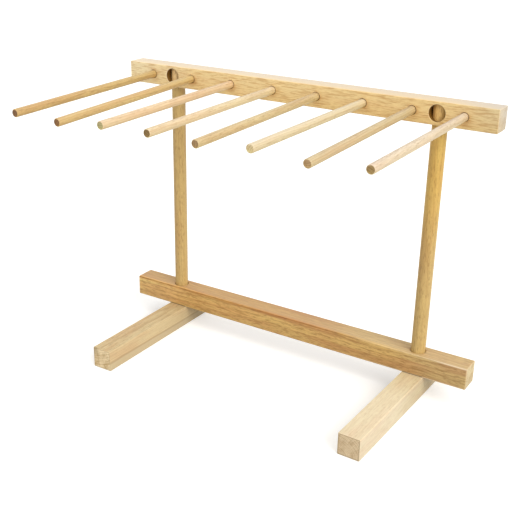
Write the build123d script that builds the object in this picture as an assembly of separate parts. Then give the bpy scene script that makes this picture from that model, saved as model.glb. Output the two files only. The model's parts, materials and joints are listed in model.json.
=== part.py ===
from build123d import *
import os
from math import cos, radians, sin

# Pasta drying rack in beech: a rail on two posts carries eight rods that reach forward over
# a stand of one base rail and two feet. Lengths are in millimetres and angles in degrees.
# +X runs along the rail, the rods reach towards -Y, and the feet stand on Z = 0.

# Square bars
rail_size = 22.5
rail_overhang = 58.25  # past each post's axis
base_rail_size = 23.5
base_rail_overhang = 57.0  # past each post's axis
foot_size = 23.5
foot_reach = 139.0  # from the base rail's front face to the foot's toe
foot_tail = 37.5  # from the base rail's back face to the foot's heel
foot_insets = {"left": 2.5, "right": -0.3}  # how far a foot lies inside its post's axis
foot_yaw_angles = {"left": 0.0, "right": 1.1}  # about the post's axis, towards -X at the toe
long_edge_round = 0.9
bar_end_chamfer = 0.5

# Round posts, glued into the base rail and a sliding fit in the rail
post_diameter = 15.0
post_spacing = 305.0
post_clear_height = 240.0  # between the base rail's top and the rail's underside
post_foot_depth = 12.0
post_head_depth = 20.0
post_end_chamfer = 1.0
post_glue_gap = 0.05
post_slide_gap = 0.06
post_end_gap = 0.3
post_socket_chamfer = 1.0

# Round windows bored into the rail's front face, across the post sockets
window_diameter = 16.5
window_depth = 18.0
window_rise = 0.25  # above the rail's middle height
bore_mouth_chamfer = 0.3

# Rods, each pushed into its own blind socket in the rail's front face
rod_diameter = 8.0
rod_row_overhang = 26.0  # from each post's axis out to the nearest end of the row
rod_reach = 208.0  # from the rail's front face to the rod's tip
rod_socket_depth = 16.0
rod_socket_chamfer = 0.9
rod_slide_gap = 0.06
rod_end_gap = 0.3
rod_end_chamfer = 0.7
rod_yaw_angles = [0.0, 0.5, 0.7, 0.9, 0.6, 1.1, 1.2, 1.5]  # towards +X at the tip
rod_droop_angles = [1.4, 1.8, 0.5, 0.3, 0.7, -0.5, 0.5, -0.7]  # downwards at the tip

# Countersunk wood screws, up through foot and base rail into the post's end grain
screw_length = 50.0
screw_head_diameter = 9.0
screw_head_height = 2.6
screw_head_rim = 0.3
screw_shank_diameter = 4.4
screw_core_diameter = 3.0
screw_thread_diameter = 4.4
screw_thread_length = 26.0
screw_thread_pitch = 2.2
screw_ridge_share = 0.5  # of the pitch, at the ridge's root
screw_tip_length = 5.0
screw_sink = 1.2  # of the head below the foot's underside
screw_hole_gap = 0.15
screw_pilot_extra = 2.0
recess_span = 4.6
recess_width = 1.1
recess_depth = 1.9
recess_taper = 12.0

# Dowel pins that keep each foot square to the base rail
pin_diameter = 5.0
pin_rise = 8.0  # into the base rail
pin_drop = 10.0  # into the foot
pin_offset = 6.5  # from the post's axis, along X and along Y
pin_gap = 0.05
pin_end_gap = 0.3
pin_end_chamfer = 0.5

# Extra length that makes every cutter run past the face it opens
overrun = 1.0

# Lengths along X, which follow from the posts
rail_length = post_spacing + 2 * rail_overhang
base_rail_length = post_spacing + 2 * base_rail_overhang
first_rod_x = -post_spacing / 2 - rod_row_overhang
rod_count = len(rod_droop_angles)
rod_pitch = -2 * first_rod_x / (rod_count - 1)

# Levels and planes that follow from the sizes
base_rail_bottom = foot_size
base_rail_top = base_rail_bottom + base_rail_size
rail_bottom = base_rail_top + post_clear_height
rail_top = rail_bottom + rail_size
rod_height = rail_bottom + rail_size / 2
window_height = rod_height + window_rise

# The origin lies under the middle of the whole rack, so the posts stand behind it
front_extent = rail_size / 2 + rod_reach
back_extent = max(rail_size / 2, base_rail_size / 2 + foot_tail)
post_y = (front_extent - back_extent) / 2
rail_front_y = post_y - rail_size / 2
base_rail_front_y = post_y - base_rail_size / 2

sides = {"left": -1, "right": 1}


def post_x(side):
    return side * post_spacing / 2


def bar(x_span, y_span, z_span):
    """A square bar between two planes on each axis, long edges rounded and ends chamfered."""
    spans = (x_span, y_span, z_span)
    lengths = [high - low for low, high in spans]
    middle = [(low + high) / 2 for low, high in spans]
    block = Pos(*middle) * Box(*lengths)
    long_axis = (Axis.X, Axis.Y, Axis.Z)[lengths.index(max(lengths))]
    block = fillet(block.edges().filter_by(long_axis), long_edge_round)
    ends = block.faces().sort_by(long_axis)
    return chamfer(ends[0].edges() + ends[-1].edges(), bar_end_chamfer)


def round_bar(diameter, bottom, top, end_chamfer):
    """An upright dowel on the Z axis with both ends chamfered."""
    dowel = Pos(0, 0, (bottom + top) / 2) * Cylinder(diameter / 2, top - bottom)
    return chamfer(dowel.edges().filter_by(GeomType.CIRCLE), end_chamfer)


def bore(diameter, bottom, top):
    """A cutter on the Z axis."""
    return Pos(0, 0, (bottom + top) / 2) * Cylinder(diameter / 2, top - bottom)


def countersink(diameter, mouth_diameter, mouth_z, direction):
    """A conical cutter that widens a bore to mouth_diameter at mouth_z; direction points out."""
    depth = (mouth_diameter - diameter) / 2
    outer = mouth_diameter / 2 + overrun
    length = depth + overrun
    if direction > 0:
        cone = Cone(diameter / 2, outer, length)
    else:
        cone = Cone(outer, diameter / 2, length)
    return Pos(0, 0, mouth_z + direction * (length / 2 - depth)) * cone


# Rods
def rod_x(index):
    return first_rod_x + index * rod_pitch


def rod_direction(index):
    """The way a rod points, and slides out of its socket."""
    yaw = radians(rod_yaw_angles[index])
    droop = radians(rod_droop_angles[index])
    return Vector(sin(yaw) * cos(droop), -cos(yaw) * cos(droop), -sin(droop))


def rod_place(index):
    """Local +Z runs out along the rod from the rail's front face."""
    mouth = Vector(rod_x(index), rail_front_y, rod_height)
    return Plane(origin=mouth, x_dir=(1, 0, 0), z_dir=rod_direction(index)).location


def make_rod(index):
    inner_end = rod_end_gap - rod_socket_depth
    return rod_place(index) * round_bar(rod_diameter, inner_end, rod_reach, rod_end_chamfer)


def rod_socket(index):
    diameter = rod_diameter + 2 * rod_slide_gap
    hole = bore(diameter, -rod_socket_depth, overrun)
    rim = countersink(diameter, diameter + 2 * rod_socket_chamfer, 0, 1)
    return rod_place(index) * (hole + rim)


# Rail
def window(side):
    """A round window in the front face, seen along the rods; local +Z points forward."""
    mouth = (post_x(side), rail_front_y, window_height)
    place = Plane(origin=mouth, x_dir=(1, 0, 0), z_dir=(0, -1, 0)).location
    hole = bore(window_diameter, -window_depth, overrun)
    rim = countersink(window_diameter, window_diameter + 2 * bore_mouth_chamfer, 0, 1)
    return place * (hole + rim)


def rail_post_socket(side):
    diameter = post_diameter + 2 * post_slide_gap
    socket_end = rail_bottom + post_head_depth + post_end_gap
    hole = bore(diameter, rail_bottom - overrun, socket_end)
    rim = countersink(diameter, diameter + 2 * bore_mouth_chamfer, rail_bottom, -1)
    return Pos(post_x(side), post_y, 0) * (hole + rim)


def make_top_rail():
    half = rail_length / 2
    y_span = (rail_front_y, rail_front_y + rail_size)
    rail = bar((-half, half), y_span, (rail_bottom, rail_top))
    for side in sides.values():
        rail -= rail_post_socket(side)
        rail -= window(side)
    for index in range(rod_count):
        rail -= rod_socket(index)
    return rail


# Screws and pins
def screw_hole(side, bottom, top):
    diameter = screw_shank_diameter + 2 * screw_hole_gap
    return Pos(post_x(side), post_y, 0) * bore(diameter, bottom, top)


def make_screw(side):
    """Turned profile about the screw's axis, from the head's face up to the tip."""
    head = screw_head_diameter / 2
    shank = screw_shank_diameter / 2
    core = screw_core_diameter / 2
    thread = screw_thread_diameter / 2
    thread_start = screw_length - screw_tip_length - screw_thread_length
    outline = [(0, 0), (head, 0), (head, screw_head_rim), (shank, screw_head_height), (shank, thread_start)]
    ridge_half = screw_ridge_share * screw_thread_pitch / 2
    for ridge in range(int(screw_thread_length / screw_thread_pitch)):
        crest = thread_start + ridge * screw_thread_pitch + screw_thread_pitch / 2
        outline += [(core, crest - ridge_half), (thread, crest), (core, crest + ridge_half)]
    outline += [(core, screw_length - screw_tip_length), (0, screw_length)]
    profile = Plane.XZ * make_face(Polyline(*outline, close=True))
    screw = revolve(profile, Axis.Z)
    cross = Rectangle(recess_span, recess_width) + Rectangle(recess_width, recess_span)
    screw -= extrude(cross, recess_depth, taper=recess_taper)
    return Pos(post_x(side), post_y, screw_sink) * screw


def pin_place(side):
    return Pos(post_x(side) - side * pin_offset, post_y - pin_offset, base_rail_bottom)


def make_pin(side):
    return pin_place(side) * round_bar(pin_diameter, -pin_drop, pin_rise, pin_end_chamfer)


def pin_hole(side):
    diameter = pin_diameter + 2 * pin_gap
    return pin_place(side) * bore(diameter, -pin_drop - pin_end_gap, pin_rise + pin_end_gap)


# Stand
def make_base_rail():
    half = base_rail_length / 2
    y_span = (base_rail_front_y, base_rail_front_y + base_rail_size)
    rail = bar((-half, half), y_span, (base_rail_bottom, base_rail_top))
    diameter = post_diameter + 2 * post_glue_gap
    for side in sides.values():
        socket_floor = base_rail_top - post_foot_depth - post_end_gap
        socket = bore(diameter, socket_floor, base_rail_top + overrun)
        socket += countersink(diameter, diameter + 2 * post_socket_chamfer, base_rail_top, 1)
        rail -= Pos(post_x(side), post_y, 0) * socket
        rail -= screw_hole(side, base_rail_bottom - overrun, base_rail_top)
        rail -= pin_hole(side)
    return rail


def make_foot(name, side):
    """Laid out about the post's axis, turned on it, and only then bored."""
    half = foot_size / 2
    middle = -side * foot_insets[name]
    y_span = (-base_rail_size / 2 - foot_reach, base_rail_size / 2 + foot_tail)
    foot = bar((middle - half, middle + half), y_span, (0, foot_size))
    foot = Pos(post_x(side), post_y, 0) * Rot(0, 0, -foot_yaw_angles[name]) * foot
    foot -= screw_hole(side, -overrun, foot_size + overrun)
    diameter = screw_shank_diameter + 2 * screw_hole_gap
    mouth = screw_head_diameter + 2 * screw_hole_gap
    sink = bore(mouth, -overrun, screw_sink + screw_head_rim)
    sink += countersink(diameter, mouth, screw_sink + screw_head_rim, -1)
    foot -= Pos(post_x(side), post_y, 0) * sink
    return foot - pin_hole(side)


def make_post(side):
    bottom = base_rail_top - post_foot_depth
    top = rail_bottom + post_head_depth
    post = round_bar(post_diameter, bottom, top, post_end_chamfer)
    pilot_end = screw_sink + screw_length + screw_pilot_extra
    post -= bore(screw_core_diameter, bottom - overrun, pilot_end)
    return Pos(post_x(side), post_y, 0) * post


# Write one file for each piece
parts = {"top_rail": make_top_rail(), "base_rail": make_base_rail()}
for name, side in sides.items():
    parts[f"{name}_foot"] = make_foot(name, side)
    parts[f"{name}_post"] = make_post(side)
    parts[f"{name}_post_screw"] = make_screw(side)
    parts[f"{name}_foot_pin"] = make_pin(side)
for index in range(rod_count):
    parts[f"drying_rod_{index + 1}"] = make_rod(index)

os.makedirs("parts", exist_ok=True)
for name, part in parts.items():
    export_step(part, f"parts/{name}.step")
    print(name, round(part.volume, 1))
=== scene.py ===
import json
import math

import bmesh
import bpy
from mathutils import Matrix, Vector


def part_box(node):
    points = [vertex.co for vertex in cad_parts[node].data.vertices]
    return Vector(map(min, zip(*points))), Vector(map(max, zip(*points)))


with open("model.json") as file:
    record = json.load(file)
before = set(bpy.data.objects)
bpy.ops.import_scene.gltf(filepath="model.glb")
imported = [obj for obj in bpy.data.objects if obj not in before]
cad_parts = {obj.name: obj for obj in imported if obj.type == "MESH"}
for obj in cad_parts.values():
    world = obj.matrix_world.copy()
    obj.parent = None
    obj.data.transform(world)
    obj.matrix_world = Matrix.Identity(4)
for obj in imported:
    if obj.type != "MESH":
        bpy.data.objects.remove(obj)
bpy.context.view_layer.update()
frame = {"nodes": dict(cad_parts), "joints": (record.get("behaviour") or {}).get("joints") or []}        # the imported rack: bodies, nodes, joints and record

# A drying rack in plain beech: eight rods in a rail, on two posts over a footed stand.
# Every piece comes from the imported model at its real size, and gets its wood or steel here.
# Patterns are worked out in millimetres, measured from each piece's own middle.
mm = 1000


def linearColour(hexCode):
    channels = [int(hexCode[i:i + 2], 16) / 255 for i in (1, 3, 5)]
    return [c / 12.92 if c <= 0.04045 else ((c + 0.055) / 1.055) ** 2.4 for c in channels] + [1.0]


def addNode(tree, kind, inputs=None, **settings):
    node = tree.nodes.new(kind)
    for name, value in settings.items():
        setattr(node, name, value)
    for socket, value in (inputs or {}).items():
        if isinstance(value, bpy.types.Node):
            value = next(output for output in value.outputs if output.enabled)
        if isinstance(value, bpy.types.NodeSocket):
            tree.links.new(value, node.inputs[socket])
        elif isinstance(value, str):
            node.inputs[socket].default_value = linearColour(value)
        else:
            node.inputs[socket].default_value = value
    return node


def addMath(tree, operation, *values, **settings):
    return addNode(tree, "ShaderNodeMath", dict(enumerate(values)), operation=operation, **settings)


def addVectorMath(tree, operation, *values):
    return addNode(tree, "ShaderNodeVectorMath", dict(enumerate(values)), operation=operation)


def addRange(tree, value, start, end, low=0.0, high=1.0, smooth=False):  # low at start, high at end
    return addNode(tree, "ShaderNodeMapRange",
                   {"Value": value, "From Min": start, "From Max": end, "To Min": low, "To Max": high},
                   interpolation_type="SMOOTHSTEP" if smooth else "LINEAR")


def times(tree, *factors):  # the product, kept between 0 and 1
    product = factors[0]
    for factor in factors[1:]:
        product = addMath(tree, "MULTIPLY", product, factor, use_clamp=True)
    return product


def mixed(tree, tone, base, other):
    return addNode(tree, "ShaderNodeMix", {0: tone, 6: base, 7: other}, data_type="RGBA")


def scaled(tree, base, factor):
    return addNode(tree, "ShaderNodeVectorMath", {0: base, "Scale": factor}, operation="SCALE")


def raysOf(tree, *kinds):  # 1 for rays of these kinds, 0 for all others
    rays = addNode(tree, "ShaderNodeLightPath")
    found = rays.outputs[f"Is {kinds[0]} Ray"]
    for kind in kinds[1:]:
        found = addMath(tree, "MAXIMUM", found, rays.outputs[f"Is {kind} Ray"])
    return found


def emptyTree(owner):
    owner.use_nodes = True
    owner.node_tree.nodes.clear()
    return owner.node_tree


def newMaterial(name):
    material = bpy.data.materials.new(name)
    material.use_nodes = True
    return material, material.node_tree, material.node_tree.nodes["Principled BSDF"]


# Beech: close-grained hardwood, planed or turned, sanded and left bare, so almost matt.
# It shows faint growth rings, short strokes and flecks where rays are cut, and hair-fine fibres.
# Lengths are in mm; a tone says how far a pattern goes towards its own colour.
beech = {
    "roughness": 0.58,
    "rayPolish": 0.14,    # how much smoother the rays are
    "endRoughness": 0.2,  # how much rougher the end grain is
    "ior": 1.5,
    "ringDrift": 0.31,    # how often wide and narrow rings take turns, per ring
    "ringUneven": 2.2,    # and how much they differ
    "weakRing": 0.25,     # strength of the faintest ring
    "wander": 3.0,        # how far the rings stray from true circles
    "wanderLength": 110,
    "wanderWidth": 22,
    "blotchLength": 75,   # slow changes of tone
    "blotchWidth": 11,
    "fibreLength": 16,
    "fibreWidth": 0.55,   # real fibres are finer; drawn as coarse as they need to show
    "fibreTone": 0.07,
    "fleckLength": 7.5,   # from one large ray fleck to the next, along the grain
    "fleckWidth": 1.7,
    "fleckSize": 0.42,    # how far it reaches from its middle, as a share of its cell
    "speckLength": 2.8,   # the small flecks between them
    "speckWidth": 0.55,
    "speckSize": 0.5,
    "strokeLength": 14,   # soft strokes that run in bundles along a flat-sawn face
    "strokeWidth": 1.25,
    "strokeTone": 0.25,
    "rayDepth": 24,       # how far one ray runs towards the bark
    "poreLength": 40,
    "poreWidth": 0.45,    # in end grain; real pores are finer
    "edgeReach": 1.3,      # how far wear, painted highlight and painted shade reach in from an edge
    "silverSheenTone": 0.0,    # paleness of quarter-sawn faces, where the rays lie flat; on the top rail partly a painted sheen
    "longEdgeTone": 0.15,
    "endEdgeTone": 0.5,
    "rimTone": 0.0,       # dark outline of a sawn end, where its fibres frayed and took dirt
    # how far the walls of bored holes are painted darker, as painted shade
    "boreShadeTone": 0.95,
    "endBlotch": 7.0,     # cloudy patches in end grain, where it drank more
    "sapwoodStep": 0.8,   # over which the heartwood turns to sapwood
    "sapwoodTone": 0.85,
    "heartLine": 1.9,     # half width of the dark line between them
    "heartLineTone": 0.35,
    "fades": [],          # a tint, then one or more axes with the places where it starts and is full
    "seams": (),          # middle and half width of each bar underneath
    "seamHeight": 1.3,    # how high the painted shade reaches over a seam
    "seamCore": 0.6,      # and up to where it is full
    "seamShadeTone": 0.9,
    "relief": 0.07,
}


def streaks(tree, place, length, width, detail=2.0):  # noise drawn out along the grain
    stretched = addVectorMath(tree, "MULTIPLY", place, (1 / length, 1 / width, 1 / width))
    return addNode(tree, "ShaderNodeTexNoise", {"Vector": stretched, "Scale": 1.0, "Detail": detail})


def growthRings(tree, trunk, wood):
    stray = streaks(tree, trunk, wood["wanderLength"], wood["wanderWidth"])
    reach = 2 * wood["wander"]
    strayed = addVectorMath(tree, "MULTIPLY_ADD", stray.outputs["Color"], (0, reach, reach), trunk)
    across = addVectorMath(tree, "MULTIPLY", strayed, (0, 1, 1))
    radius = addVectorMath(tree, "LENGTH", across)
    rings = addMath(tree, "DIVIDE", radius, wood["ringWidth"])
    slow = addMath(tree, "MULTIPLY", rings, wood["ringDrift"])
    uneven = addNode(tree, "ShaderNodeTexNoise", {"W": slow, "Scale": 1.0}, noise_dimensions="1D")
    count = addMath(tree, "MULTIPLY_ADD", uneven, wood["ringUneven"], rings)
    share = addMath(tree, "FRACT", count)
    number = addMath(tree, "FLOOR", count)
    year = addNode(tree, "ShaderNodeTexWhiteNoise", {"W": number}, noise_dimensions="1D")
    strength = addRange(tree, year, 0, 1, wood["weakRing"], 1)
    late = addRange(tree, share, 0.45, 0.95, smooth=True)  # dark wood grows slowly through the summer
    lateEnd = addRange(tree, share, 0, 0.1, 1, 0)          # and ends at once
    line = addMath(tree, "MAXIMUM", late, lateEnd)
    return strayed, across, radius, addMath(tree, "MULTIPLY", line, strength)


def rayFlecks(tree, rayPlace, length, width, depth, size):  # short lens shapes, cut across
    cells = addVectorMath(tree, "MULTIPLY", rayPlace, (1 / length, 1 / width, 1 / depth))
    rays = addNode(tree, "ShaderNodeTexVoronoi", {"Vector": cells, "Scale": 1.0})
    return addRange(tree, rays, size, 0.35 * size, smooth=True)


def pieceBox(nodeName, turn):  # middle and half size in mm, with X along the grain
    corners = [turn @ (vertex.co * mm) for vertex in frame["nodes"][nodeName].data.vertices]
    lowest = Vector([min(corner[i] for corner in corners) for i in range(3)])
    highest = Vector([max(corner[i] for corner in corners) for i in range(3)])
    return (lowest + highest) / 2, (highest - lowest) / 2


def beechPatterns(tree, wood, middle, turn):
    # Millimetres from the piece's middle, with X along the grain, and from the pith of its tree
    coordinates = addNode(tree, "ShaderNodeTexCoord")
    rotation = turn.to_euler()
    piece = addNode(tree, "ShaderNodeMapping", {"Vector": coordinates.outputs["Object"], "Location": -middle,
                                                "Rotation": rotation, "Scale": (mm, mm, mm)})
    normal = addNode(tree, "ShaderNodeMapping", {"Vector": coordinates.outputs["Normal"],
                                                 "Rotation": rotation}, vector_type="NORMAL")
    slope = [math.radians(degrees) for degrees in wood["slope"]]
    fromPith = [-place - wood["wander"] for place in wood["pith"]]
    trunk = addNode(tree, "ShaderNodeMapping", {"Vector": piece, "Location": (wood["along"], *fromPith),
                                                "Rotation": (0, *slope)})
    strayed, across, radius, ring = growthRings(tree, trunk, wood)
    parts = addNode(tree, "ShaderNodeSeparateXYZ", {0: strayed})
    angle = addMath(tree, "ARCTAN2", parts.outputs["Z"], parts.outputs["Y"])
    arc = addMath(tree, "MULTIPLY", angle, math.hypot(*wood["pith"]))
    rayPlace = addNode(tree, "ShaderNodeCombineXYZ", {"X": parts.outputs["X"], "Y": arc, "Z": radius})
    fleck, speck = [rayFlecks(tree, rayPlace, wood[kind + "Length"], wood[kind + "Width"], wood["rayDepth"],
                              wood[kind + "Size"]) for kind in ("fleck", "speck")]
    blotch = streaks(tree, strayed, wood["blotchLength"], wood["blotchWidth"])

    # A quarter-sawn face lies along the rays, a flat-sawn one across them
    bark = addVectorMath(tree, "NORMALIZE", across)
    facingBark = addMath(tree, "ABSOLUTE", addVectorMath(tree, "DOT_PRODUCT", normal, bark))
    quarter = addRange(tree, facingBark, 0.9, 0.35, smooth=True)
    facingEnd = addMath(tree, "ABSOLUTE", addVectorMath(tree, "DOT_PRODUCT", normal, (1, 0, 0)))
    return {
        "piece": piece,
        "places": addNode(tree, "ShaderNodeSeparateXYZ", {0: piece}).outputs,
        "strayed": strayed,
        "radius": radius,
        "ring": ring,
        "speck": speck,
        "flecks": addMath(tree, "MULTIPLY_ADD", speck, 0.55, fleck),
        "fibre": streaks(tree, strayed, wood["fibreLength"], wood["fibreWidth"], 3.0),
        "blotch": blotch,
        "patchiness": addRange(tree, blotch, 0.35, 0.65, 0.3, 1),  # wear, dirt, and the painted highlight and shade all take unevenly
        "quarter": quarter,
        "flat": addRange(tree, quarter, 0, 1, 1, 0.25),
        "endGrain": addRange(tree, facingEnd, 0.75, 0.95),
    }


def longGrain(tree, wood, cut):
    patchy = addRange(tree, cut["blotch"], 0.35, 0.6, 0.35 * wood["ringTone"], wood["ringTone"])
    colour = mixed(tree, times(tree, cut["ring"], patchy), wood["early"], wood["late"])
    warmth = addRange(tree, cut["blotch"], 0.4, 0.68, 0, wood["blotchTone"], smooth=True)
    colour = mixed(tree, warmth, colour, wood["warm"])
    fibreTone = addRange(tree, cut["fibre"], 0.3, 0.7, 1 - wood["fibreTone"], 1 + wood["fibreTone"])
    colour = scaled(tree, colour, fibreTone)
    colour = mixed(tree, times(tree, cut["flecks"], wood["fleckTone"], cut["flat"]), colour, wood["fleck"])
    strokes = streaks(tree, cut["strayed"], wood["strokeLength"], wood["strokeWidth"])
    strokes = addRange(tree, strokes, 0.46, 0.66, 0, wood["strokeTone"], smooth=True)
    colour = mixed(tree, times(tree, strokes, cut["flat"]), colour, wood["fleck"])
    # quarter-sawn faces are paler: the wood's silver grain, and on the top rail also a painted sheen
    if wood["silverSheenTone"]:
        colour = mixed(tree, times(tree, cut["quarter"], wood["silverSheenTone"]), colour, wood["silverSheen"])
    if "sapwood" in wood:  # past this ring the wood is paler, with one dark line between
        edgeOfHeart = wood["sapwoodFrom"]
        paler = addRange(tree, cut["radius"], edgeOfHeart, edgeOfHeart + wood["sapwoodStep"], 0,
                         wood["sapwoodTone"])
        colour = mixed(tree, paler, colour, wood["sapwood"])
        offLine = addMath(tree, "ABSOLUTE", addMath(tree, "SUBTRACT", cut["radius"], edgeOfHeart))
        line = addRange(tree, offLine, wood["heartLine"], 0.2, 0, wood["heartLineTone"], smooth=True)
        colour = mixed(tree, line, colour, wood["fleck"])
    return colour


def sawnEnd(tree, wood, cut):  # it drinks more, and shows the rings from the end with rays across them
    pores = streaks(tree, cut["piece"], wood["poreLength"], wood["poreWidth"], 1.0)
    poreTone = addRange(tree, pores, 0.3, 0.7, 0.88, 1.1)
    damp = streaks(tree, cut["piece"], wood["poreLength"], wood["endBlotch"])
    damp = addRange(tree, damp, 0.42, 0.7, 0, 0.8)
    tone = addMath(tree, "ADD", addMath(tree, "MULTIPLY_ADD", cut["speck"], 0.5, cut["ring"]), damp)
    colour = mixed(tree, times(tree, tone, wood["endRingTone"]), wood["end"], wood["endLate"])
    return scaled(tree, colour, poreTone)


def tintedAndShadedPlaces(tree, wood, cut, colour):  # one end, face or corner is made a little darker or paler: some tints are the wood's own tone, others are painted shade and light, marked at each piece
    for tint, *spans in wood["fades"]:
        share = times(tree, *[addRange(tree, cut["places"][axis], gone, full, smooth=True)
                              for axis, gone, full in spans])
        colour = mixed(tree, share, colour, addVectorMath(tree, "MULTIPLY", colour, tint))
    return colour


def nearness(tree, wood, cut, half, isRound):  # to the piece's end and side faces, each 0 to 1
    folded, reach = cut["piece"], half
    if isRound:
        side = addVectorMath(tree, "LENGTH", addVectorMath(tree, "MULTIPLY", cut["piece"], (0, 1, 1)))
        folded = addNode(tree, "ShaderNodeCombineXYZ", {"X": cut["places"]["X"], "Y": side})
        reach = Vector((half.x, half.y, half.y))
    folded = addVectorMath(tree, "ABSOLUTE", folded)
    near = addNode(tree, "ShaderNodeMapRange",
                   {"Vector": folded, 7: reach - Vector((wood["edgeReach"],) * 3), 8: reach},
                   data_type="FLOAT_VECTOR", interpolation_type="SMOOTHSTEP")
    return addNode(tree, "ShaderNodeSeparateXYZ", {0: near}).outputs


def paintedSocketShade(tree, socketShade, cut, half, colour):  # painted shade around each rod's root, reaching below it and to its right, on the front face only
    halfPitch = socketShade["pitch"] / 2
    offset = addMath(tree, "SUBTRACT", cut["places"]["X"], socketShade["first"])
    offset = addMath(tree, "WRAP", offset, halfPitch, -halfPitch)
    spot = addNode(tree, "ShaderNodeCombineXYZ", {"X": offset, "Z": cut["places"]["Z"]})
    fromSocket = addVectorMath(tree, "DISTANCE", spot, socketShade["shift"])
    rootShade = addRange(tree, fromSocket, socketShade["radius"], socketShade["radius"] + socketShade["width"], socketShade["tone"], 0,
                    smooth=True)
    inFront = addRange(tree, cut["places"]["Y"], -half.y, 1 - half.y, 1, 0)
    return mixed(tree, times(tree, rootShade, inFront, cut["patchiness"]), colour, socketShade["colour"])


def paintedSeamShade(tree, wood, cut, half, colour):  # painted shade in the groove where a bar lies on another
    for barMiddle, barHalf in wood["seams"]:
        spread = addMath(tree, "ABSOLUTE", addMath(tree, "SUBTRACT", cut["places"]["X"], barMiddle))
        overBar = addRange(tree, spread, barHalf, barHalf - 0.5)
        low = addRange(tree, cut["places"]["Z"], wood["seamHeight"] - half.z, wood["seamCore"] - half.z, 0,
                       wood["seamShadeTone"])
        colour = mixed(tree, times(tree, overBar, low), colour, wood["seamShade"])
    return colour


def beechMaterial(name, nodeName, grain, wood, isRound=False):
    wood = dict(beech, **wood)
    material, tree, shader = newMaterial(name)
    turn = grain.rotation_difference(Vector((1, 0, 0)))
    middle, half = pieceBox(nodeName, turn)
    cut = beechPatterns(tree, wood, middle, turn)
    colour = mixed(tree, cut["endGrain"], longGrain(tree, wood, cut), sawnEnd(tree, wood, cut))
    colour = tintedAndShadedPlaces(tree, wood, cut, colour)

    # Near two faces at once is an edge, which wears, and on the base rail also carries a painted highlight;
    # near none is the wall of a bored hole, painted darker as shade
    near = nearness(tree, wood, cut, half, isRound)
    nearSide = addMath(tree, "MAXIMUM", near["Y"], near["Z"])
    longEdge = times(tree, near["Y"], near["Z"])
    if "wornAndLitSpan" in wood:
        longEdge = times(tree, longEdge, addRange(tree, cut["places"]["X"], *wood["wornAndLitSpan"]))
    wornAndLit = addMath(tree, "MAXIMUM", times(tree, longEdge, wood["longEdgeTone"]),
                   times(tree, near["X"], nearSide, wood["endEdgeTone"]))
    colour = mixed(tree, times(tree, wornAndLit, cut["patchiness"]), colour, wood["wornAndLit"])
    if wood["rimTone"]:
        colour = mixed(tree, times(tree, cut["endGrain"], nearSide, wood["rimTone"]), colour, wood["rim"])
    if not isRound:  # the walls of bored holes are painted darker, a painted shade in the recess, and their torn fibres don't shine
        nearest = addMath(tree, "MAXIMUM", near["X"], nearSide)
        boreShadeMask = addRange(tree, nearest, 0.2, 0.85, wood["boreShadeTone"], 0)
        colour = mixed(tree, boreShadeMask, colour, wood["bored"])
        gloss = addRange(tree, boreShadeMask, 0, 1, 0.5, 0.1)
        tree.links.new(gloss.outputs[0], shader.inputs["Specular IOR Level"])
    if "socketShade" in wood:
        colour = paintedSocketShade(tree, wood["socketShade"], cut, half, colour)
    colour = paintedSeamShade(tree, wood, cut, half, colour)

    # Sanding leaves the late wood and the fibres a little proud, and the rays a little smoother
    sheen = addMath(tree, "MULTIPLY_ADD", cut["quarter"], 0.5, cut["flecks"])
    roughness = addRange(tree, sheen, 0, 1, wood["roughness"], wood["roughness"] - wood["rayPolish"])
    roughness = addMath(tree, "MULTIPLY_ADD", cut["endGrain"], wood["endRoughness"], roughness,
                        use_clamp=True)
    relief = addMath(tree, "MULTIPLY_ADD", cut["ring"], 0.5, cut["fibre"])
    relief = addMath(tree, "MULTIPLY_ADD", cut["flecks"], -0.35, relief)
    bump = addNode(tree, "ShaderNodeBump", {"Strength": 0.6, "Distance": wood["relief"] / mm,
                                            "Height": relief})
    tree.links.new(next(output for output in colour.outputs if output.enabled), shader.inputs["Base Color"])
    tree.links.new(roughness.outputs[0], shader.inputs["Roughness"])
    tree.links.new(bump.outputs[0], shader.inputs["Normal"])
    shader.inputs["IOR"].default_value = wood["ior"]
    return material


def dress(nodeName, material):
    data = frame["nodes"][nodeName].data
    data.materials.clear()
    data.materials.append(material)


# The rods' sockets stand in an even row; as no rod leans to the left, its box begins at its root
rodCount = 8
rodRadius = 4
firstRoot, lastRoot = [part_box(f"drying_rod_{number}")[0].x * mm + rodRadius for number in (1, rodCount)]

# The rail that holds the rods: a pale golden bar, flat-sawn in front and quarter-sawn on top, its top made
# paler still by a painted sheen
topRail = {
    "early": "#EFD398", "late": "#DBB175", "warm": "#EAC48E", "fleck": "#BC8948", "wornAndLit": "#F4DCB0",
    "silverSheen": "#E4D0B0", "end": "#E2CFAB", "endLate": "#C2A172", "bored": "#76500A",
    "pith": (62, -14),       # from the middle of the bar to the pith, mm
    "along": 120,            # where along the trunk it was cut, mm
    "slope": (0.5, -0.4),    # between the grain and the bar, degrees
    "ringWidth": 2.9,
    "ringTone": 0.3, "blotchTone": 0.3, "fleckTone": 0.25, "strokeTone": 0.55, "silverSheenTone": 0.85,
    "longEdgeTone": 0.25, "endRingTone": 0.45, "endEdgeTone": 0.1,
    # the tint along Z, darker and warmer towards the bottom, is painted shade under the rods
    "fades": [((1.03, 1.14, 1.4), ("X", -110, -215), ("Y", -8, -11)), ((0.97, 0.94, 0.88), ("X", -60, 150)),
              ((0.89, 0.95, 1.1), ("X", 160, 210)), ((0.98, 0.94, 0.84), ("Z", 6, -11)),
              ((0.91, 0.95, 1.09), ("Y", -11, 11))],
    # painted shade around the rods' roots on the front face
    "socketShade": {"colour": "#B98542", "tone": 0.5, "radius": rodRadius, "width": 4.5, "shift": (1.2, 0, -1.6),
              "first": firstRoot, "pitch": (lastRoot - firstRoot) / (rodCount - 1)},
}
dress("top_rail", beechMaterial("planedBeechRail", "top_rail", Vector((1, 0, 0)), topRail))
print("rail dressed")


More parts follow.
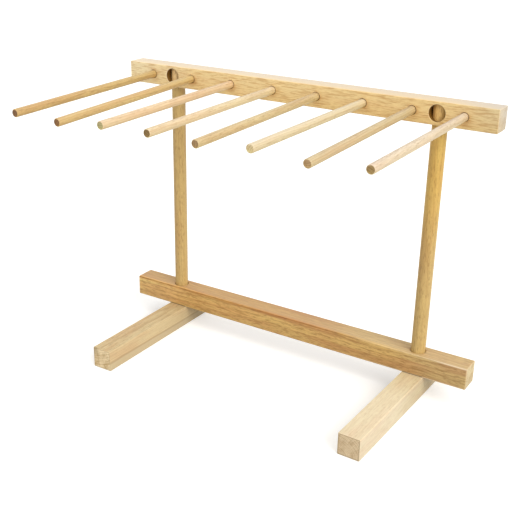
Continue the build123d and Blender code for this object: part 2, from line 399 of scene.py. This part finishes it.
# The rail of the stand: a darker, browner bar, its rings running along the top
baseRail = {
    "early": "#CBAD72", "late": "#8E6435", "warm": "#BC8D5E", "fleck": "#865E2C", "wornAndLit": "#F0DDB8",
    "silverSheen": "#D6BB92", "end": "#D5C398", "endLate": "#B08F5E", "bored": "#5A3B18", "seamShade": "#4A3014",
    "pith": (70, -45), "along": 900, "slope": (-0.3, 0.5), "ringWidth": 4.0,
    "ringTone": 1.0, "blotchTone": 0.6, "fleckTone": 0.4, "strokeTone": 0.5, "silverSheenTone": 0.5,
    "longEdgeTone": 0.9, "edgeReach": 1.9, "endRingTone": 0.6, "endEdgeTone": 0.2,
    "fades": [
        # darker towards the bottom, and darker still along the bottom edge: painted shade
        ((0.9, 0.88, 0.88), ("Z", 2, -12)),
        ((0.8, 0.76, 0.72), ("Z", -10.4, -11.6)),
        ((1.12, 1.03, 0.8), ("X", 165, 120), ("Y", -8, -10.5)),   # redder in front, away from the right end
        ((1.08, 1.12, 1.12), ("X", 20, -60), ("Y", -8, -10.5)),   # and lighter towards the left
        ((1.1, 1.15, 1.25), ("X", -120, -160), ("Y", -8, -10.5)),
        ((0.94, 0.82, 0.72), ("X", 110, -20), ("Z", 8, 10.5)),    # redder on top as well
        ((0.7, 0.62, 0.52), ("X", 110, 80), ("Y", -10.8, -11.4), ("Z", 9.4, 10.6)),  # below the front edge
    ],
    "wornAndLitSpan": (70, 120),                     # its long edges are pale only near the right end: partly rubbed wear, partly painted highlight
    "seams": ((-150, 11.75), (152.6, 11.75)),  # the feet, with painted shade in the groove over each
}
dress("base_rail", beechMaterial("planedBeechBaseRail", "base_rail", Vector((1, 0, 0)), baseRail))
print("base rail dressed")


# The feet are from two different boards, the left one browner with a pale strip of sapwood
feet = {
    "left_foot": {
        "early": "#D2BC8E", "late": "#A8804D", "warm": "#C9A476", "fleck": "#825B2C", "wornAndLit": "#E3D2A9",
        "end": "#EED8AD", "endLate": "#A9864D", "bored": "#63421B",
        "pith": (-15, 58), "along": 281, "slope": (0.3, 0.7), "ringWidth": 2.6,
        "ringTone": 0.7, "blotchTone": 0.5, "fleckTone": 0.3, "strokeTone": 0.2,
        "endRingTone": 0.7, "endEdgeTone": 0.0, "edgeReach": 2.1, "longEdgeTone": 0.1,
        "rim": "#6F5B38", "rimTone": 0.4, "sapwood": "#C2AE87", "sapwoodFrom": 66.6,
        # darker towards the heel, near the base rail: painted shade
        "fades": [((0.88, 0.87, 0.85), ("X", 29, -41)),
                  ((0.66, 0.64, 0.6), ("X", 98, 99.5), ("Y", -2, -9), ("Z", 0, 8))],  # a dark toe corner
        "yaw": 0,
    },
    "right_foot": {
        "early": "#DED0B0", "late": "#C5A77D", "warm": "#DCC3A5", "fleck": "#B79767", "wornAndLit": "#F2E2BE",
        "end": "#DDC7A2", "endLate": "#AB8B62", "bored": "#63421B",
        "pith": (-12, -14), "along": 681, "slope": (-0.4, 0.5), "ringWidth": 1.9,
        "ringTone": 0.3, "blotchTone": 0.5, "fleckTone": 0.2, "strokeTone": 0.2,
        "longEdgeTone": 0.1, "endRingTone": 0.5, "endEdgeTone": 0.0, "edgeReach": 2.1,
        "rim": "#8C7352", "rimTone": 0.9,
        # darker towards the heel and on the right side near it: painted shade by the base rail; paler
        # towards the top face: painted light
        "fades": [((0.87, 0.86, 0.78), ("X", 29, -41)),
                  ((0.92, 0.9, 0.87), ("X", 40, -20), ("Y", 9, 11)), ((1.08, 1.06, 1.03), ("Z", 9, 11.5))],
        "yaw": 1.1,  # degrees from straight ahead, as the foot was screwed on
    },
}
for nodeName, foot in feet.items():
    yaw = math.radians(foot["yaw"])
    toe = Vector((-math.sin(yaw), -math.cos(yaw), 0))
    dress(nodeName, beechMaterial("planedBeech_" + nodeName, nodeName, toe, foot))
print("feet dressed")


# Turned posts, golden brown
posts = {
    "early": "#C7A869", "late": "#9C743A", "warm": "#BC9459", "fleck": "#835E28", "wornAndLit": "#D3BB85",
    "end": "#B8945C", "endLate": "#8E6B38",
    "pith": (44, 10), "slope": (0.4, 0.6), "ringWidth": 2.2,
    "ringTone": 0.6, "blotchTone": 0.5, "fleckTone": 0.35, "strokeTone": 0.2, "endRingTone": 0.5,
    "litHeads": [(1.52, 1.5, 1.85), (1.38, 1.39, 1.9)],  # painted light: the heads inside the rail, seen through its windows, are made paler
    "warmLitUpper": [(1, 1, 1), (1.16, 1.1, 0.75)],          # painted warm light: the right post is made more golden in its upper half
}
for i, nodeName in enumerate(("left_post", "right_post")):
    fades = [(posts["litHeads"][i], ("X", 114, 123)), (posts["warmLitUpper"][i], ("X", -40, 70))]
    post = dict(posts, along=400 + 350 * i, fades=fades)
    dress(nodeName, beechMaterial("turnedBeech_" + nodeName, nodeName, Vector((0, 0, 1)), post, True))
print("posts dressed")


# Turned rods, each from its own stick; most of their sawn ends have darkened
rods = {
    "ringWidth": 1.9, "ringTone": 0.6, "blotchTone": 0.5, "fleckTone": 0.3, "strokeTone": 0.25,
    "endRingTone": 0.6, "endEdgeTone": 0.0, "endBlotch": 4.0,
    "spacing": 150,      # between the sticks in the trunk, mm
    "pithDistance": 30,
    "pithTurn": 0.382,   # from one stick's side of the trunk to the next, in turns
    "slopeSpread": 0.5,  # degrees
    # darker towards the root: painted shade; paler and cooler along the top: painted highlight; lighter and
    # yellower underneath: painted light
    "fades": [((0.9, 0.88, 0.84), ("X", 60, -110)), ((1.03, 1.06, 1.17), ("Z", 1, 4)),
              ((1.1, 1.12, 0.95), ("Z", 1, -4))],
    "tints": [  # early wood, late wood, warm patches, flecks, end, end's late wood
        ("#CAAB6D", "#926D38", "#BD905D", "#7E5729", "#87603A", "#4E3118"),
        ("#CDB075", "#9F7940", "#C49964", "#8C6733", "#92683A", "#5E3D1C"),
        ("#DDC298", "#B78D59", "#D7B086", "#A07746", "#BEB17E", "#8E8454"),
        ("#DDC99E", "#BB9765", "#D9BB94", "#A4814E", "#8F7040", "#5C4A22"),
        ("#CDB685", "#A88550", "#C7A575", "#93713E", "#AD8C5E", "#75583A"),
        ("#D9C79F", "#BB9A6B", "#D8BD96", "#A48554", "#DECB9C", "#B89C68"),
        ("#CAB486", "#A68352", "#C5A277", "#927140", "#BC9A6E", "#8E6C3E"),
        ("#DAC6A5", "#B29267", "#DABB9C", "#9D7F53", "#AA8C58", "#745A30"),
    ],
}
pulls = {joint["child"]: Vector(joint["axis"]) for joint in frame["joints"]}
for i, tints in enumerate(rods["tints"]):
    nodeName = f"drying_rod_{i + 1}"
    stickTurn = 2 * math.pi * i * rods["pithTurn"]
    stick = dict(rods, along=rods["spacing"] * i, wornAndLit=tints[0],
                 slope=[rods["slopeSpread"] * share for share in (math.sin(7 * i), math.cos(5 * i))],
                 pith=[rods["pithDistance"] * share for share in (math.cos(stickTurn), math.sin(stickTurn))],
                 **dict(zip(("early", "late", "warm", "fleck", "end", "endLate"), tints)))
    dress(nodeName, beechMaterial(f"turnedBeech_{nodeName}", nodeName, pulls[f"rod_{i + 1}"], stick, True))
print("rods dressed")


# Dowel pins between feet and base rail, hidden in their holes
pins = dict(posts, along=60, pith=(22, 9))
for nodeName in ("left_foot_pin", "right_foot_pin"):
    dress(nodeName, beechMaterial("turnedBeech_" + nodeName, nodeName, Vector((0, 0, 1)), pins, True))
print("pins dressed")


# Zinc-plated steel screws: bright, faintly blue-grey, with the fine marks of turning
screws = {"bright": "#C9CAC6", "dull": "#A5A7A6", "brightRoughness": 0.24, "dullRoughness": 0.44,
          "markPitch": 0.18, "markDepth": 0.01, "cloudSize": 1.6}  # lengths in mm


def zincSteel(name, axis):
    material, tree, shader = newMaterial(name)
    coordinates = addNode(tree, "ShaderNodeTexCoord")
    place = addNode(tree, "ShaderNodeMapping", {"Vector": coordinates.outputs["Object"],
                                                "Location": -axis * mm, "Scale": (mm, mm, mm)})
    clouds = streaks(tree, place, screws["cloudSize"], screws["cloudSize"], 3.0)
    colour = mixed(tree, clouds, screws["dull"], screws["bright"])
    radius = addVectorMath(tree, "LENGTH", addVectorMath(tree, "MULTIPLY", place, (1, 1, 0)))
    marks = addMath(tree, "SINE", addMath(tree, "MULTIPLY", radius, 2 * math.pi / screws["markPitch"]))
    roughness = addRange(tree, clouds, 0, 1, screws["dullRoughness"], screws["brightRoughness"])
    bump = addNode(tree, "ShaderNodeBump", {"Strength": 0.25, "Distance": screws["markDepth"] / mm,
                                            "Height": marks})
    tree.links.new(colour.outputs[2], shader.inputs["Base Color"])
    tree.links.new(roughness.outputs[0], shader.inputs["Roughness"])
    tree.links.new(bump.outputs[0], shader.inputs["Normal"])
    shader.inputs["Metallic"].default_value = 1.0
    return material


for nodeName in ("left_post_screw", "right_post_screw"):
    low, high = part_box(nodeName)
    dress(nodeName, zincSteel("zincPlatedSteel_" + nodeName, (low + high) / 2))
print("screws dressed")


# A plain pale table top that runs out past the picture; only its own look is whitened
table = {"size": 12.0, "drop": 0.0001, "paint": "#C4C2BE", "seen": "#EAE9E6", "glow": 0.35}  # metres
sheet = bmesh.new()
bmesh.ops.create_grid(sheet, x_segments=1, y_segments=1, size=table["size"] / 2)
bmesh.ops.translate(sheet, verts=sheet.verts, vec=(0, 0, -table["drop"]))
tableData = bpy.data.meshes.new("table")
sheet.to_mesh(tableData)
sheet.free()
tableTop = bpy.data.objects.new("table", tableData)
bpy.context.scene.collection.objects.link(tableTop)
tableMaterial = bpy.data.materials.new("matPaintTable")
tree = emptyTree(tableMaterial)
seen = raysOf(tree, "Camera", "Glossy")
paint = addNode(tree, "ShaderNodeBsdfDiffuse", {"Color": table["paint"]})
pale = addNode(tree, "ShaderNodeBsdfDiffuse", {"Color": table["seen"]})
glow = addNode(tree, "ShaderNodeEmission", {"Strength": table["glow"]})
shown = addNode(tree, "ShaderNodeAddShader", {0: pale, 1: glow})
surface = addNode(tree, "ShaderNodeMixShader", {0: seen, 1: paint, 2: shown})
addNode(tree, "ShaderNodeOutputMaterial", {"Surface": surface})
tableData.materials.append(tableMaterial)
print("table laid")


# Soft studio light at a plain level, the larger part of it from the right
studio = {
    "room": 0.5,
    "lamps": {  # direction towards the lamp, share of full light, width in degrees
        "rightBox": ((0.80, -0.32, 0.52), 0.75, 40),
        "overheadBox": ((0.0, 0.1, 1.0), 0.22, 70),
        "frontFill": ((-0.35, -0.80, 0.48), 0.16, 70),
    },
}
world = bpy.data.worlds.new("studio")
bpy.context.scene.world = world
tree = emptyTree(world)
seen = raysOf(tree, "Camera", "Glossy", "Transmission")
room = addNode(tree, "ShaderNodeBackground", {"Color": "#FFFFFF", "Strength": studio["room"]})
white = addNode(tree, "ShaderNodeBackground", {"Color": "#FFFFFF", "Strength": 1.0})
sky = addNode(tree, "ShaderNodeMixShader", {0: seen, 1: room, 2: white})
addNode(tree, "ShaderNodeOutputWorld", {"Surface": sky})
for name, (direction, share, width) in studio["lamps"].items():
    lamp = bpy.data.lights.new(name, "SUN")
    lamp.energy = math.pi * share
    lamp.angle = math.radians(width)
    lampObject = bpy.data.objects.new(name, lamp)
    lampObject.rotation_euler = Vector(direction).to_track_quat("Z", "Y").to_euler()
    bpy.context.scene.collection.objects.link(lampObject)
bpy.context.scene.view_settings.view_transform = "Standard"
print("light set")


# The photograph's view: from the right, a little above
view = {"eye": (0.4415, -0.70585, 0.4848), "azimuth": 32.89, "elevation": 22.41, "roll": 0.6,
        "lens": 61.66, "sensor": 36, "shift": 0.0397}  # metres, degrees, and mm for lens and sensor
camera = bpy.data.cameras.new("camera")
camera.sensor_width = view["sensor"]
camera.lens = view["lens"]
camera.shift_x = view["shift"]
cameraObject = bpy.data.objects.new("camera", camera)
azimuth, elevation, roll = [math.radians(view[angle]) for angle in ("azimuth", "elevation", "roll")]
back = Vector((math.sin(azimuth) * math.cos(elevation), -math.cos(azimuth) * math.cos(elevation),
               math.sin(elevation)))
aim = (-back).to_track_quat("-Z", "Y").to_matrix().to_4x4()
cameraObject.matrix_world = Matrix.Translation(view["eye"]) @ aim @ Matrix.Rotation(roll, 4, "Z")
bpy.context.scene.collection.objects.link(cameraObject)
bpy.context.scene.camera = cameraObject
print("camera placed")
